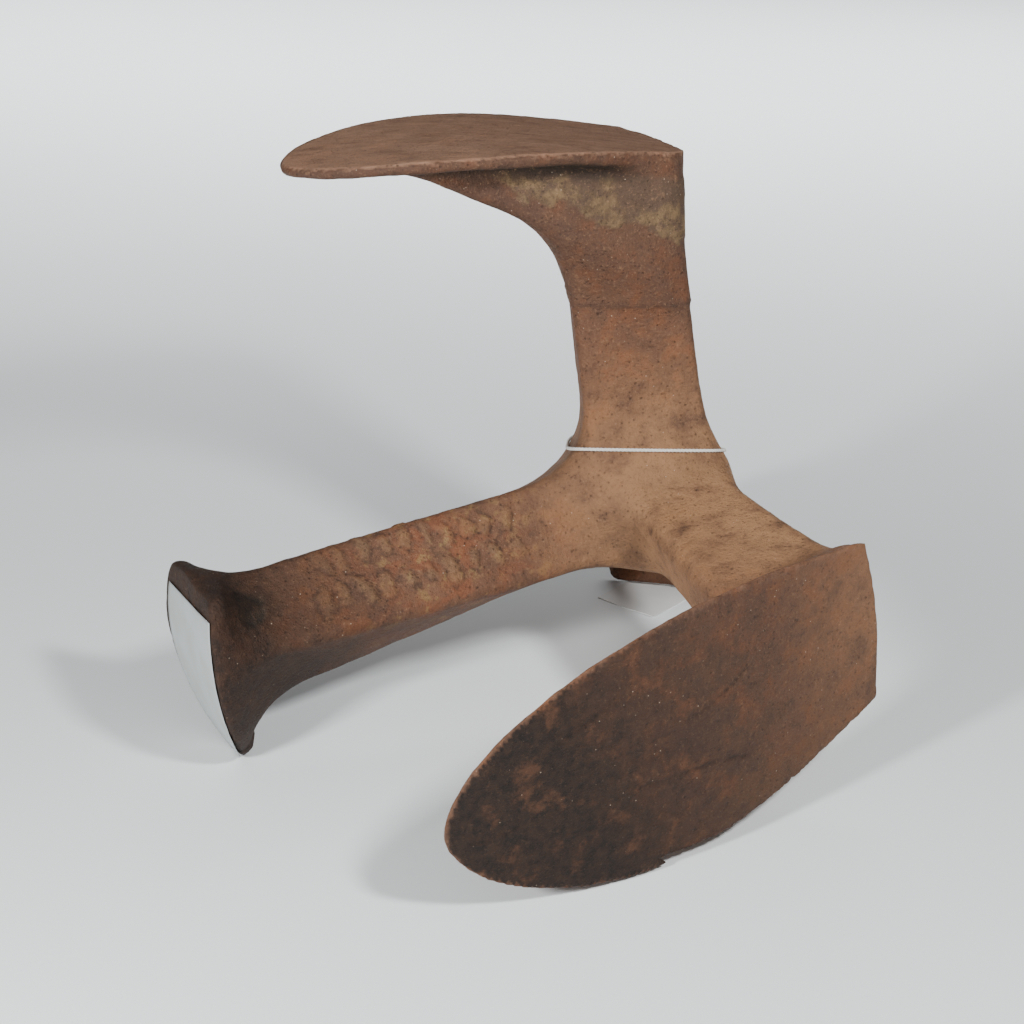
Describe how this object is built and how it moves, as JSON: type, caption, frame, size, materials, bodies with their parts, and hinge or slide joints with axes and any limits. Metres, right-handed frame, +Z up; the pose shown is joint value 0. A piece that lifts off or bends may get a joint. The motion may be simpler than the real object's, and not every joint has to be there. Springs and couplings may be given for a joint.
{
  "type": "cobbler's iron shoe last",
  "caption": "Cast-iron cobbler's anvil: sole and heel shaped feet on arms that meet in one hub, resting on any of its sides; with tied string, card tag and paper label.",
  "frame": {"origin": "middle of the iron casting's footprint box, on the surface that it stands on", "axes": "+Z up; +X to the right of the upper foot's toe, towards its heel end; the large sole faces towards -Y and +X"},
  "size_m": [0.2713, 0.299, 0.2302],
  "materials": {
    "rusty_iron": "rough sand-cast iron with even brown rust, worn along its edges",
    "label_paper": "matte white paper sticker, slightly creased",
    "cotton_string": "twisted white cotton string, matte",
    "tag_card": "matte white card, blank"
  },
  "bodies": {
    "root": {"last_casting": "rusty_iron", "heel_label": "label_paper", "string_loop": "cotton_string", "string_tail": "cotton_string", "string_knot": "cotton_string", "hang_tag": "tag_card"}
  },
  "joints": []
}
